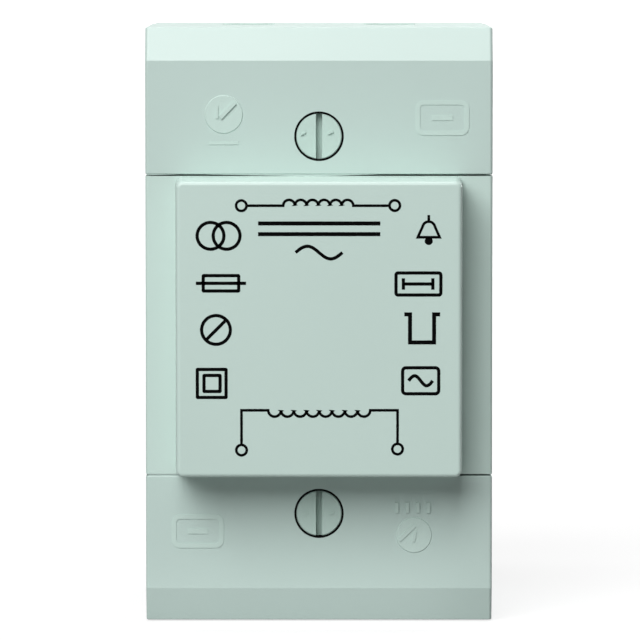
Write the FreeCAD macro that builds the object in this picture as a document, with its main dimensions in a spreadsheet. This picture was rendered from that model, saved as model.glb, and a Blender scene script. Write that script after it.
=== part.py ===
import FreeCAD, Part

import math
import os
import re

import Sketcher

# A doorbell transformer for a mounting rail, three modules wide, in millimetres.
# X runs to the right, Z runs up, and the front faces -Y.
# The origin is on the back plane, at the height of the rail's centre line.
# In the formulas, depth is the distance in front of the back plane, which is -Y.

SIZES = [
    ("case_width", 52.5, "three modules of 17.5"),
    ("case_height", 90.5, "end to end"),
    ("wall", 2.0, "thickness of the moulded walls"),
    ("fit_gap", 0.15, "clearance between parts that slide or lap"),
    ("edge_radius", 0.5, "rounding of the long outer edges"),
    ("fine_radius", 0.2, "rounding of the edges along the cover gaps"),
    # front housing
    ("face_depth", 50.0, "back plane to the front of the covers and shoulders"),
    ("cover_gap", 0.25, "joint line between housing and cover"),
    ("nose_rise", 10.0, "how far the nose stands proud of the shoulders"),
    ("shoulder_width", 4.55, "each shoulder beside the nose"),
    ("nose_inset", 0.1, "nose to each end of the housing, at the shoulders"),
    ("nose_draft", 2.0, "draft of the nose's sides, in degrees"),
    ("nose_radius", 1.0, "rounding of the nose's corners"),
    ("nose_edge", 0.6, "rounding of the edge of its front"),
    # terminal covers
    ("cover_length", 22.4, "terminal cover along the part"),
    ("slope_height", 5.0, "height of the sloping end face"),
    ("slope_depth", 1.6, "depth of the sloping end face"),
    ("end_lean", 0.25, "draft of the end wall, from the parting line to the slope"),
    ("entry_radius", 4.0, "half the width of a cable entry"),
    ("well_radius", 3.75, "recess around a cover screw's head"),
    ("well_wall", 1.3, "wall of that recess"),
    ("well_length", 14.0, "front face down to the end of that recess's wall, on the pillar"),
    ("well_shelf", 5.0, "front face down to the shelf that the head bears on"),
    # cover screws
    ("screw_inset", 5.75, "inner end of a cover to its screw's axis"),
    ("head_radius", 3.5, "cover screw's head"),
    ("head_sunk", 0.15, "head below the face of the cover"),
    ("head_slot", 0.95, "width of the driver slot"),
    ("slot_depth", 1.8, "depth of the driver slot"),
    ("shank_radius", 1.9, "cover screw's shank"),
    ("shank_length", 22.0, "shank below the head"),
    ("shank_gap", 0.08, "shank to the pillar's bore"),
    ("pillar_radius", 4.2, "pillar that takes the cover screw"),
    # rear base
    ("base_depth", 14.0, "back plane to the parting line"),
    ("step_height", 2.5, "deck above the parting line"),
    ("deck_thickness", 3.5, "deck that carries the terminals"),
    ("floor_thickness", 2.5, "floor between the rail and the coil"),
    ("core_ledge", 4.0, "ledge of the base behind each side of the core"),
    ("core_end_ledge", 1.0, "ledge of the base behind each end of the core"),
    ("column_width", 12.4, "across the two ribs behind the upper cover screw"),
    ("fixing_side", 6.05, "side of the part to a wall fixing hole"),
    ("fixing_end", 7.25, "end of the part to a wall fixing hole"),
    ("fixing_radius", 2.2, "wall fixing hole"),
    ("fixing_boss", 4.4, "boss around the wall fixing hole"),
    ("tapper_boss", 3.2, "boss around a housing screw"),
    # mounting rail
    ("rail_height", 35.0, "width of the top hat rail"),
    ("rail_play", 0.25, "clearance above and below the rail"),
    ("rail_recess", 5.5, "depth of the recess for the rail"),
    ("rail_flange", 1.0, "thickness of the rail"),
    ("flange_play", 0.2, "clearance behind the rail's flange"),
    ("hook_reach", 1.55, "how far the hook and the clip reach behind the rail"),
    ("hook_thickness", 2.5, "thickness of the fixed hook"),
    ("hook_width", 15.0, "each of the two fixed hooks"),
    ("hook_side", 1.75, "side of the part to a fixed hook"),
    # sliding clip and its spring
    ("clip_width", 13.8, "part of the clip that shows in the throat"),
    ("wing_width", 18.0, "across the guide wings"),
    ("wing_thickness", 1.8, "guide wings"),
    ("channel_depth", 5.0, "back plane to the floor of the channel"),
    ("clip_back", 0.5, "clip below the back plane"),
    ("clip_inset", 1.05, "end of the part to the clip's pull end"),
    ("wing_start", 2.25, "edge of the rail recess to the top of the wings"),
    ("wing_inset", 1.7, "clip's pull end to the bottom of the wings"),
    ("window_width", 4.8, "window for the spring"),
    ("window_start", 7.25, "edge of the rail recess to the window's top edge"),
    ("window_inset", 6.2, "clip's pull end to the window's bottom edge"),
    ("peg_width", 4.2, "peg on the base that the spring pushes on"),
    ("peg_height", 2.5, "the same peg along the slide"),
    ("stop_gap", 0.1, "peg to the window's bottom edge"),
    ("spring_radius", 1.45, "spring to the middle of its wire"),
    ("spring_wire", 0.25, "radius of the spring's wire"),
    ("spring_pitch", 1.6, "one turn of the spring"),
    ("nub_radius", 1.0, "nubs that hold the spring's ends"),
    ("nub_length", 1.4, "nubs that hold the spring's ends"),
    # laminated core
    ("core_side_gap", 0.25, "core to the housing's side walls"),
    ("core_end_gap", 0.6, "core to the housing's end walls"),
    ("core_stack", 16.8, "thickness of the stack of sheets"),
    ("core_window", 8.0, "each window for the coil, across"),
    ("core_yoke", 8.0, "yoke and outer legs"),
    # coil
    ("former_gap", 0.15, "middle leg to the former"),
    ("former_wall", 1.0, "tube of the former"),
    ("flange_wall", 1.0, "flanges of the former"),
    ("flange_gap", 0.2, "flanges to the core, except below where they rest on it"),
    ("flange_lip", 0.85, "flanges past the mains winding, at its front and back"),
    ("flange_corner", 2.0, "rounding of the flanges"),
    ("divider_height", 2.1, "middle of the coil to the middle flange"),
    ("coil_side_gap", 0.95, "mains winding to the core's outer legs"),
    ("coil_back_gap", 1.45, "mains winding to the floor of the base"),
    ("secondary_step", 0.9, "bell winding's outside below the mains winding's"),
    ("winding_corner", 4.0, "rounding of the windings"),
    ("tape_thickness", 0.3, "tape round each winding"),
    # terminals
    ("terminal_x", 11.0, "terminal from the centre line"),
    ("terminal_inset", 6.35, "inner end of a cover to a terminal"),
    ("wire_room", 4.05, "terminal to the end wall of the cover"),
    ("terminal_width", 7.6, "terminal across the wire"),
    ("terminal_rise", 11.0, "terminal above the deck"),
    ("wire_rise", 5.8, "axis of the wire hole above the deck"),
    ("wire_radius", 1.7, "wire hole"),
    ("clamp_radius", 1.75, "thread of the clamping screw"),
    ("clamp_lift", 2.0, "clamping screw's head above the terminal, wound open"),
    ("clamp_head", 2.9, "radius of the clamping screw's head"),
    ("clamp_head_height", 2.4, "height of the clamping screw's head"),
    ("clamp_slot", 0.9, "slot of the clamping screw"),
    ("thread_gap", 0.05, "screw to its hole"),
    ("cheek_wall", 1.2, "cheeks that hold a terminal"),
    ("cheek_rise", 8.5, "cheeks above the deck"),
    ("cheek_overlap", 0.6, "cheeks past each end of a terminal"),
    # leads from the coil to the terminals
    ("lead_radius", 0.75, "insulated lead"),
    ("strand_radius", 0.5, "bare end of a lead"),
    ("strand_length", 2.4, "bare end inside the terminal"),
    ("lead_drop", 3.9, "axis of a lead behind the core's back"),
    ("lead_turn", 1.4, "where a lead turns forward, from the end of the core inwards"),
    ("lead_level", 5.2, "where a lead runs level again, before its terminal"),
    ("solder_rise", 2.1, "axis of the lead's hole in the terminal above the deck"),
    ("slot_width", 3.0, "slots that the leads pass through"),
    ("slot_rise", 4.0, "lead slot in the housing, above the deck"),
    ("slot_drop", 6.5, "deck down to the floor of the lead slot in the base"),
    ("slot_margin", 4.6, "end of that slot to the terminal"),
    # screws that hold the housing to the base
    ("lug_reach", 6.3, "housing lug from side to side"),
    ("lug_length", 5.8, "lug along the side"),
    ("lug_thickness", 2.5, "thickness of a lug"),
    ("tapper_radius", 1.35, "shank of the housing screws"),
    ("tapper_length", 10.0, "shank of the housing screws"),
    ("tapper_head", 2.6, "radius of their heads"),
    ("tapper_head_height", 1.9, "height of their heads"),
    # ribs that press the core on to the base
    ("rib_inset", 7.6, "end of the housing to a core rib"),
    ("rib_thickness", 2.0, "core ribs"),
    ("rib_reach", 3.6, "core ribs inwards from the side wall"),
    # thermal cut-out
    ("cutout_radius", 1.9, "thermal cut-out"),
    ("cutout_length", 9.5, "thermal cut-out"),
    ("cutout_wire", 0.4, "radius of its leads"),
    ("cutout_tail", 3.2, "straight length of its leads"),
]

VALUES = {alias: value for alias, value, note in SIZES}
WORD = re.compile("[a-z][a-z_]*")
OVERSHOOT = "1"
PARTS_FOLDER = "parts"

# Formulas that several pieces share, so that what fits together is written once.
DECK = "(base_depth + step_height)"
HALF_WIDTH = "(case_width / 2)"
HALF_HEIGHT = "(case_height / 2)"
COVER_START = "(case_height / 2 - cover_length)"
HOUSING_END = "(case_height / 2 - cover_length - cover_gap)"
INNER_WIDTH = "(case_width / 2 - wall)"
INNER_END = "(case_height / 2 - wall)"
NOSE_X = f"({HALF_WIDTH} - shoulder_width)"
NOSE_Z = f"({HOUSING_END} - nose_inset)"
NOSE_LEAN = "(nose_rise * tan(nose_draft))"
SCREW_Z = f"({COVER_START} + screw_inset)"
PILLAR_TOP = "(face_depth - well_length)"
FIXING_X = f"({HALF_WIDTH} - fixing_side)"
FIXING_Z = f"({HALF_HEIGHT} - fixing_end)"
RAIL_EDGE = "(rail_height / 2 + rail_play)"
GRIP_DEPTH = "(rail_recess - rail_flange - flange_play)"
CLIP_END = f"({HALF_HEIGHT} - clip_inset)"
WINDOW_TOP = f"({RAIL_EDGE} + window_start)"
WINDOW_END = f"({CLIP_END} - window_inset)"
PEG_TOP = f"({WINDOW_END} - stop_gap - peg_height)"
CORE_X = f"({INNER_WIDTH} - core_side_gap)"
CORE_Z = f"({HOUSING_END} - wall - core_end_gap)"
CORE_BACK = DECK
CORE_FRONT = f"({DECK} + core_stack)"
CORE_MIDDLE = f"({DECK} + core_stack / 2)"
CAVITY_X = f"({CORE_X} - core_ledge)"
CAVITY_Z = f"({CORE_Z} - core_end_ledge)"
CAVITY_FLOOR = "(rail_recess + floor_thickness)"
COIL_LOW = f"({CORE_Z} - core_yoke)"
COIL_HIGH = f"({CORE_Z} - core_yoke - flange_gap)"
COIL_X = f"({CORE_X} - core_yoke - coil_side_gap)"
COIL_D = f"({CORE_MIDDLE} - {CAVITY_FLOOR} - coil_back_gap)"
LEG_X = f"({CORE_X} - core_yoke - core_window)"
TUBE_X = f"({LEG_X} + former_gap + former_wall)"
TUBE_D = "(core_stack / 2 + former_gap + former_wall)"
LUG_X = f"({INNER_WIDTH} - fit_gap - lug_reach / 2)"
LUG_Z = f"({HOUSING_END} + lug_length / 2)"
TERMINAL_START = f"({COVER_START} + terminal_inset)"
TERMINAL_END = f"({INNER_END} - wire_room)"
TERMINAL_FRONT = f"({DECK} + terminal_rise)"
CLAMP_Z = f"(({TERMINAL_START} + {TERMINAL_END}) / 2)"
WIRE_DEPTH = f"({DECK} + wire_rise)"
SOLDER_DEPTH = f"({DECK} + solder_rise)"
LEAD_DEPTH = f"({CORE_BACK} - lead_drop)"
SLOT_FLOOR = f"({DECK} - slot_drop)"
SLOT_END = f"({TERMINAL_START} - slot_margin)"
CORNERS = (("-1", "-1"), ("-1", "1"), ("1", "-1"), ("1", "1"))

doc = FreeCAD.newDocument("BellTransformer")


def bound(formula):
    """A formula in the sheet's aliases, as an expression that the document reads."""
    return WORD.sub(lambda found: "Sizes." + found.group() if found.group() in VALUES else found.group(), formula)


def bind(item, place, formula):
    """Ties one property of an object to a formula of the sheet."""
    item.setExpression(place, bound(formula))


def make_sheet():
    """The spreadsheet with one driving dimension in each row."""
    sheet = doc.addObject("Spreadsheet::Sheet", "Sizes")
    for row, (alias, value, note) in enumerate(SIZES, start=1):
        sheet.set(f"A{row}", alias)
        sheet.set(f"B{row}", str(value))
        sheet.set(f"C{row}", note)
        sheet.setAlias(f"B{row}", alias)
    doc.recompute()
    return sheet


def new_body(label):
    """An empty body that becomes one sub-part."""
    body = doc.addObject("PartDesign::Body", label)
    body.Label = label
    return body


def origin_feature(body, role):
    """One of the body's own origin planes or axes, found by its role."""
    return next(item for item in body.Origin.OriginFeatures if item.Role == role)


def box(body, name, across, depth, height, cut=False):
    """A box from three pairs of formulas: X, depth and Z, each low then high."""
    kind = "PartDesign::SubtractiveBox" if cut else "PartDesign::AdditiveBox"
    item = body.newObject(kind, name)
    bind(item, "Length", f"{across[1]} - ({across[0]})")
    bind(item, "Width", f"{depth[1]} - ({depth[0]})")
    bind(item, "Height", f"{height[1]} - ({height[0]})")
    bind(item, ".Placement.Base.x", across[0])
    bind(item, ".Placement.Base.y", f"-({depth[1]})")
    bind(item, ".Placement.Base.z", height[0])
    doc.recompute()
    return item


def peg(body, name, across, height, depth, radius, cut=False):
    """A cylinder that runs from back to front, or a hole if it cuts."""
    kind = "PartDesign::SubtractiveCylinder" if cut else "PartDesign::AdditiveCylinder"
    item = body.newObject(kind, name)
    item.Placement = FreeCAD.Placement(FreeCAD.Vector(), FreeCAD.Rotation(FreeCAD.Vector(1, 0, 0), 90))
    bind(item, "Radius", radius)
    bind(item, "Height", f"{depth[1]} - ({depth[0]})")
    bind(item, ".Placement.Base.x", across)
    bind(item, ".Placement.Base.y", f"-({depth[0]})")
    bind(item, ".Placement.Base.z", height)
    doc.recompute()
    return item


def post(body, name, across, depth, height, radius, cut=False):
    """A cylinder that runs upwards, or a hole if it cuts."""
    kind = "PartDesign::SubtractiveCylinder" if cut else "PartDesign::AdditiveCylinder"
    item = body.newObject(kind, name)
    bind(item, "Radius", radius)
    bind(item, "Height", f"{height[1]} - ({height[0]})")
    bind(item, ".Placement.Base.x", across)
    bind(item, ".Placement.Base.y", f"-({depth})")
    bind(item, ".Placement.Base.z", height[0])
    doc.recompute()
    return item


def new_sketch(body, name, role, level):
    """An empty sketch on one of the body's origin planes, or parallel to it."""
    sketch = body.newObject("Sketcher::SketchObject", name)
    sketch.AttachmentSupport = [(origin_feature(body, role), "")]
    sketch.MapMode = "FlatFace"
    bind(sketch, ".AttachmentOffset.Base.z", level)
    return sketch


def locate(sketch, item, vertex, across, upright):
    """Ties one point of a sketch to two formulas."""
    for kind, formula in (("DistanceX", across), ("DistanceY", upright)):
        number = sketch.addConstraint(Sketcher.Constraint(kind, -1, 1, item, vertex, 1.0))
        bind(sketch, f"Constraints[{number}]", formula)


def outline(body, name, role, loops, level="0"):
    """Closed outlines of straight lines, each corner tied to two formulas."""
    sketch = new_sketch(body, name, role, level)
    for points in loops:
        count = len(points)
        first = sketch.GeometryCount
        spread = [2 * math.pi * index / count for index in range(count)]
        rough = [FreeCAD.Vector(math.cos(angle), math.sin(angle), 0) for angle in spread]
        for index in range(count):
            sketch.addGeometry(Part.LineSegment(rough[index], rough[(index + 1) % count]), False)
        for index in range(count):
            following = first + (index + 1) % count
            sketch.addConstraint(Sketcher.Constraint("Coincident", first + index, 2, following, 1))
        for index, (across, upright) in enumerate(points):
            locate(sketch, first + index, 1, across, upright)
    doc.recompute()
    return sketch


def circles(body, name, rings, level="0"):
    """Circles seen from the front, each as X, Z and radius."""
    sketch = new_sketch(body, name, "XZ_Plane", level)
    for across, height, radius in rings:
        ring = sketch.addGeometry(Part.Circle(FreeCAD.Vector(), FreeCAD.Vector(0, 0, 1), 1.0), False)
        locate(sketch, ring, 3, across, height)
        number = sketch.addConstraint(Sketcher.Constraint("Radius", ring, 1.0))
        bind(sketch, f"Constraints[{number}]", radius)
    doc.recompute()
    return sketch


def rectangle(across, height):
    """The corners of a rectangle from two low and high pairs."""
    return [(across[0], height[0]), (across[1], height[0]), (across[1], height[1]), (across[0], height[1])]


def pad(body, name, sketch, length, centred=False):
    """Extrudes an outline along its plane's normal, or equally to both sides."""
    item = body.newObject("PartDesign::Pad", name)
    item.Profile = sketch
    item.Midplane = centred
    bind(item, "Length", length)
    doc.recompute()
    return item


def pocket(body, name, sketch, reach):
    """Cuts an outline as far to each side of its plane as reach says."""
    before = body.Shape.Volume
    item = body.newObject("PartDesign::Pocket", name)
    item.Profile = sketch
    item.Midplane = True
    bind(item, "Length", f"2 * ({reach})")
    doc.recompute()
    if body.Shape.Volume >= before:
        raise RuntimeError(f"{name} cut nothing")
    return item


def revolve(body, name, points):
    """Turns an outline in the plane of X and Y about the body's own Y axis."""
    item = body.newObject("PartDesign::Revolution", name)
    item.Profile = outline(body, name + "_outline", "XY_Plane", [points])
    item.ReferenceAxis = (origin_feature(body, "Y_Axis"), [""])
    item.Angle = 360
    doc.recompute()
    return item


def place(item, across, depth, height):
    """Moves a whole sub-part to its place in the assembly."""
    bind(item, ".Placement.Base.x", across)
    bind(item, ".Placement.Base.y", f"-({depth})")
    bind(item, ".Placement.Base.z", height)


def soften(body, name, radius, choose):
    """Rounds each edge of the body that the test picks."""
    last = body.Tip
    names = [f"Edge{number}" for number, edge in enumerate(last.Shape.Edges, start=1) if choose(edge)]
    if not names:
        raise RuntimeError(f"{name} found no edge")
    item = body.newObject("PartDesign::Fillet", name)
    item.Base = (last, names)
    bind(item, "Radius", radius)
    doc.recompute()
    return item


def near(first, second):
    """True where two lengths agree to a hundredth of a millimetre."""
    return abs(first - second) < 0.01


def runs_along(edge, axis):
    """True for a straight edge along one axis, given as 0, 1 or 2."""
    extent = [edge.BoundBox.XLength, edge.BoundBox.YLength, edge.BoundBox.ZLength]
    extent.pop(axis)
    return max(extent) < 0.001


def middle(edge):
    """The centre of an edge's bounding box."""
    return edge.BoundBox.Center


def size(alias):
    """The plain number in the sheet under an alias."""
    return float(sheet.get(alias))


# Main housing

def ordered(sign, near_value, far_value):
    """A low and high pair from two distances on one side of the centre."""
    if sign == "1":
        return (near_value, far_value)
    return (f"-({far_value})", f"-({near_value})")


def make_housing():
    """The moulded middle section: a box open at the back, with the nose standing proud of its front."""
    body = new_body("main_housing")
    ends = (f"-{HOUSING_END}", HOUSING_END)
    box(body, "shoulder_block", (f"-{HALF_WIDTH}", HALF_WIDTH), ("base_depth", "face_depth"), ends)
    nose = rectangle((f"-{NOSE_X}", NOSE_X), (f"-{NOSE_Z}", NOSE_Z))
    nose_block = pad(body, "nose_block", outline(body, "nose_outline", "XZ_Plane", [nose], "face_depth"),
                     "nose_rise")
    bind(nose_block, "TaperAngle", "-nose_draft")
    doc.recompute()
    front = -(size("face_depth") + size("nose_rise"))
    shoulder = -size("face_depth")
    soften(body, "nose_corners", "nose_radius",
           lambda edge: near(edge.BoundBox.YMin, front) and near(edge.BoundBox.YMax, shoulder))
    soften(body, "nose_rim", "nose_edge",
           lambda edge: near(edge.BoundBox.YMin, front) and near(edge.BoundBox.YMax, front))
    soften(body, "long_edges", "edge_radius",
           lambda edge: runs_along(edge, 2) and near(middle(edge).y, shoulder)
           and near(abs(middle(edge).x), size("case_width") / 2))
    hollow_x = f"({NOSE_X} - {NOSE_LEAN} - wall)"
    hollow_z = f"({NOSE_Z} - {NOSE_LEAN} - wall)"
    box(body, "hollow", (f"-{INNER_WIDTH}", INNER_WIDTH), ("base_depth - 1", "face_depth - wall"),
        (f"-({HOUSING_END} - wall)", f"{HOUSING_END} - wall"), cut=True)
    box(body, "nose_hollow", (f"-{hollow_x}", hollow_x),
        ("face_depth - 2 * wall", "face_depth + nose_rise - wall"), (f"-{hollow_z}", hollow_z), cut=True)
    box(body, "deck_relief", (f"-{INNER_WIDTH}", INNER_WIDTH), ("base_depth - 1", DECK),
        (f"-({HOUSING_END} + 1)", f"{HOUSING_END} + 1"), cut=True)
    add_housing_corners(body)
    return body


def add_housing_corners(body):
    """A core rib, a screw lug and a lead slot in each corner."""
    rib_z = f"({HOUSING_END} - rib_inset)"
    ribs = []
    lugs = []
    slots = []
    for sign, way in CORNERS:
        ribs.append(rectangle(ordered(sign, f"{INNER_WIDTH} - rib_reach", f"{INNER_WIDTH} + wall / 2"),
                              ordered(way, f"{rib_z} - rib_thickness / 2", f"{rib_z} + rib_thickness / 2")))
        lugs.append(rectangle(ordered(sign, f"{LUG_X} - lug_reach / 2", f"{LUG_X} + lug_reach / 2"),
                              ordered(way, f"{HOUSING_END} - wall / 2", f"{HOUSING_END} + lug_length")))
        slots.append(rectangle(ordered(sign, "terminal_x - slot_width / 2", "terminal_x + slot_width / 2"),
                               ordered(way, f"{HOUSING_END} - wall - 1", f"{HOUSING_END} + 1")))
    pad(body, "core_ribs", outline(body, "rib_outlines", "XZ_Plane", ribs, CORE_FRONT),
        f"face_depth - wall / 2 - {CORE_FRONT}")
    pad(body, "lugs", outline(body, "lug_outlines", "XZ_Plane", lugs, DECK), "lug_thickness")
    holes = [(f"{sign} * {LUG_X}", f"{way} * {LUG_Z}", "tapper_radius + fit_gap") for sign, way in CORNERS]
    pocket(body, "lug_holes", circles(body, "lug_hole_outlines", holes, DECK), "lug_thickness + 1")
    pocket(body, "lead_slots", outline(body, "slot_outlines", "XZ_Plane", slots, DECK), "slot_rise")


# Rear base

def make_base():
    """The moulded back: a stepped tray with the rail recess, the clip channel, the decks and the pillars."""
    body = new_body("rear_base")
    box(body, "tray", (f"-{HALF_WIDTH}", HALF_WIDTH), ("0", "base_depth"), (f"-{HALF_HEIGHT}", HALF_HEIGHT))
    soften(body, "tray_corners", "edge_radius", lambda edge: runs_along(edge, 1))
    box(body, "deck", (f"-({INNER_WIDTH} - fit_gap)", f"{INNER_WIDTH} - fit_gap"),
        ("base_depth - 1", DECK), (f"-({INNER_END} - fit_gap)", f"{INNER_END} - fit_gap"))
    box(body, "coil_cavity", (f"-{CAVITY_X}", CAVITY_X), (CAVITY_FLOOR, f"{DECK} + 1"),
        (f"-{CAVITY_Z}", CAVITY_Z), cut=True)
    box(body, "rail_slot", (f"-({HALF_WIDTH} + 1)", f"{HALF_WIDTH} + 1"), ("-1", "rail_recess"),
        (f"-{RAIL_EDGE}", RAIL_EDGE), cut=True)
    add_hook(body, "left", "-1")
    add_hook(body, "right", "1")
    add_cored_pockets(body)
    add_bosses(body)
    add_clip_channel(body)
    add_pillars(body)
    add_terminal_beds(body)
    return body


def add_hook(body, name, sign):
    """A fixed hook that reaches behind the rail's upper edge."""
    low, high = ordered(sign, f"{HALF_WIDTH} - hook_side - hook_width", f"{HALF_WIDTH} - hook_side")
    back = f"({GRIP_DEPTH} - hook_thickness)"
    section = [
        (f"-{GRIP_DEPTH}", f"{RAIL_EDGE} + wall / 2"),
        (f"-{GRIP_DEPTH}", f"{RAIL_EDGE} - hook_reach"),
        (f"-({back} + hook_thickness / 2)", f"{RAIL_EDGE} - hook_reach"),
        (f"-{back}", RAIL_EDGE),
        (f"-{back}", f"{RAIL_EDGE} + wall / 2"),
    ]
    pad(body, f"{name}_hook", outline(body, f"{name}_hook_outline", "YZ_Plane", [section], low),
        f"{high} - ({low})")


def add_cored_pockets(body):
    """Pockets in the back of both legs, shallow where the lead slots lie in front of them."""
    beside_clip = "(wing_width / 2 + fit_gap + wall)"
    upper = [
        (f"-{INNER_WIDTH}", "-column_width / 2"),
        ("-(column_width / 2 - wall)", "column_width / 2 - wall"),
        ("column_width / 2", INNER_WIDTH),
    ]
    lower = [(f"-{INNER_WIDTH}", f"-{beside_clip}"), (beside_clip, INNER_WIDTH)]
    levels = (
        ("shallow", f"{RAIL_EDGE} + wall", f"{SLOT_END} + wall", f"{SLOT_FLOOR} - wall"),
        ("deep", f"{SLOT_END} + wall", INNER_END, f"{DECK} - deck_thickness"),
    )
    for name, start, end, reach in levels:
        loops = [rectangle(across, ordered("1", start, end)) for across in upper]
        loops += [rectangle(across, ordered("-1", start, end)) for across in lower]
        pocket(body, f"{name}_pockets", outline(body, f"{name}_outlines", "XZ_Plane", loops), reach)


def add_bosses(body):
    """Bosses in the pockets for the wall fixings and the housing screws, and their holes."""
    fixings = [(f"-{FIXING_X}", FIXING_Z), (FIXING_X, f"-{FIXING_Z}")]
    tappers = [(f"{sign} * {LUG_X}", f"{way} * {LUG_Z}") for sign, way in CORNERS]
    top = f"{DECK} - deck_thickness + wall / 4"
    rings = [(across, height, "fixing_boss") for across, height in fixings]
    pad(body, "fixing_bosses", circles(body, "fixing_boss_outlines", rings), top)
    rings = [(across, height, "tapper_boss") for across, height in tappers]
    pad(body, "tapper_bosses", circles(body, "tapper_boss_outlines", rings, "rail_recess"),
        f"{top} - rail_recess")
    holes = [(across, height, "fixing_radius") for across, height in fixings]
    pocket(body, "fixing_holes", circles(body, "fixing_outlines", holes), f"{DECK} + 1")
    holes = [(across, height, "tapper_radius + thread_gap") for across, height in tappers]
    pocket(body, "tapper_holes", circles(body, "tapper_outlines", holes, DECK),
           "tapper_length - lug_thickness + 1")


def add_clip_channel(body):
    """The T-shaped channel that the rail clip slides in, and the peg that its spring pushes on."""
    rows = (f"-({HALF_HEIGHT} + 1)", f"-({RAIL_EDGE} - 1)")
    wings = "(wing_width / 2 + fit_gap)"
    throat = "(clip_width / 2 + fit_gap)"
    box(body, "wing_channel", (f"-{wings}", wings),
        ("channel_depth - wing_thickness - 2 * fit_gap", "channel_depth"), rows, cut=True)
    box(body, "throat", (f"-{throat}", throat), ("-1", "channel_depth - fit_gap"), rows, cut=True)
    box(body, "spring_peg", ("-peg_width / 2", "peg_width / 2"),
        ("clip_back + fit_gap", "channel_depth + wall / 2"),
        (f"-({WINDOW_END} - stop_gap)", f"-{PEG_TOP}"))
    post(body, "spring_peg_nub", "0", "(clip_back + channel_depth) / 2",
         (f"-({PEG_TOP} + wall / 2)", f"-({PEG_TOP} - nub_length)"), "nub_radius")


def add_pillars(body):
    """The two pillars that carry the covers' wells and take the cover screws."""
    spots = [("0", f"{way} * {SCREW_Z}") for way in ("-1", "1")]
    rings = [(across, height, "pillar_radius") for across, height in spots]
    bores = [(across, height, "shank_radius + shank_gap") for across, height in spots]
    foot = f"({DECK} - deck_thickness / 2)"
    pad(body, "pillars", circles(body, "pillar_outlines", rings, foot), f"{PILLAR_TOP} - {foot}")
    pocket(body, "pillar_bores", circles(body, "bore_outlines", bores, PILLAR_TOP),
           "well_shelf + shank_length + wall - well_length")


def add_terminal_beds(body):
    """Two cheeks and a lead slot for each terminal."""
    cheeks = []
    slots = []
    inner = "terminal_x - terminal_width / 2"
    outer = "terminal_x + terminal_width / 2"
    for sign, way in CORNERS:
        rows = ordered(way, f"{TERMINAL_START} - cheek_overlap", f"{TERMINAL_END} + cheek_overlap")
        cheeks.append(rectangle(ordered(sign, f"{inner} - cheek_wall", inner), rows))
        cheeks.append(rectangle(ordered(sign, outer, f"{outer} + cheek_wall"), rows))
        slots.append(rectangle(ordered(sign, "terminal_x - slot_width / 2", "terminal_x + slot_width / 2"),
                               ordered(way, f"{CAVITY_Z} - 1", SLOT_END)))
    foot = f"({DECK} - deck_thickness / 2)"
    pad(body, "cheeks", outline(body, "cheek_outlines", "XZ_Plane", cheeks, foot),
        f"{DECK} + cheek_rise - {foot}")
    pocket(body, "lead_slots", outline(body, "slot_outlines", "XZ_Plane", slots, DECK), "slot_drop")


# Terminal covers

def make_cover(label, turned):
    """One terminal cover. Both are the same moulding, and the lower one is turned half round."""
    body = new_body(label)
    profile = outline(body, "side_profile", "YZ_Plane", [[
        ("-base_depth", COVER_START),
        ("-face_depth", COVER_START),
        ("-face_depth", f"{HALF_HEIGHT} - end_lean - slope_height"),
        ("-(face_depth - slope_depth)", f"{HALF_HEIGHT} - end_lean"),
        ("-base_depth", HALF_HEIGHT),
    ]])
    pad(body, "cover_block", profile, "case_width", centred=True)
    front = -size("face_depth")
    half = size("case_width") / 2
    end = size("case_height") / 2
    start = end - size("cover_length")
    soften(body, "side_edges", "edge_radius",
           lambda edge: near(abs(middle(edge).x), half) and not near(middle(edge).z, start)
           and middle(edge).y < front + size("slope_depth") + 1)
    soften(body, "slope_edges", "fine_radius",
           lambda edge: runs_along(edge, 0) and not near(middle(edge).z, start)
           and middle(edge).y < front + size("slope_depth") + 1)
    slant = "wall * (sqrt(slope_height ^ 2 + slope_depth ^ 2) - slope_height) / slope_depth"
    turn = "wall * (sqrt(slope_height ^ 2 + slope_depth ^ 2) - slope_depth) / slope_height"
    hollow = outline(body, "hollow_profile", "YZ_Plane", [[
        ("-(base_depth - 1)", f"{COVER_START} - 1"),
        ("-(face_depth - wall)", f"{COVER_START} - 1"),
        ("-(face_depth - wall)", f"{HALF_HEIGHT} - end_lean - slope_height - {slant}"),
        (f"-(face_depth - slope_depth - {turn})", INNER_END),
        ("-(base_depth - 1)", INNER_END),
    ]])
    pocket(body, "hollow", hollow, INNER_WIDTH)
    soften(body, "gap_edge", "fine_radius",
           lambda edge: near(edge.BoundBox.ZMin, start) and near(edge.BoundBox.ZMax, start)
           and near(middle(edge).y, front))
    peg(body, "well", "0", SCREW_Z, (PILLAR_TOP, "face_depth - wall / 2"), "well_radius + well_wall")
    peg(body, "well_bore", "0", SCREW_Z,
        ("face_depth - well_shelf", "face_depth + 1"), "well_radius", cut=True)
    peg(body, "shank_bore", "0", SCREW_Z,
        (f"{PILLAR_TOP} - 1", "face_depth - wall"), "shank_radius + 2 * fit_gap", cut=True)
    for name, sign in (("left", "-1"), ("right", "1")):
        add_cable_entry(body, name, sign)
    if turned:
        body.Placement = FreeCAD.Placement(FreeCAD.Vector(), FreeCAD.Rotation(FreeCAD.Vector(0, 1, 0), 180))
    return body


def add_cable_entry(body, name, sign):
    """A round-topped notch in the end wall, open towards the base."""
    rows = (f"{INNER_END} - 1", f"{HALF_HEIGHT} + 1")
    box(body, f"{name}_entry", ordered(sign, "terminal_x - entry_radius", "terminal_x + entry_radius"),
        ("base_depth - 1", WIRE_DEPTH), rows, cut=True)
    post(body, f"{name}_entry_top", f"{sign} * terminal_x", WIRE_DEPTH, rows, "entry_radius", cut=True)


# Cover screws

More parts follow.
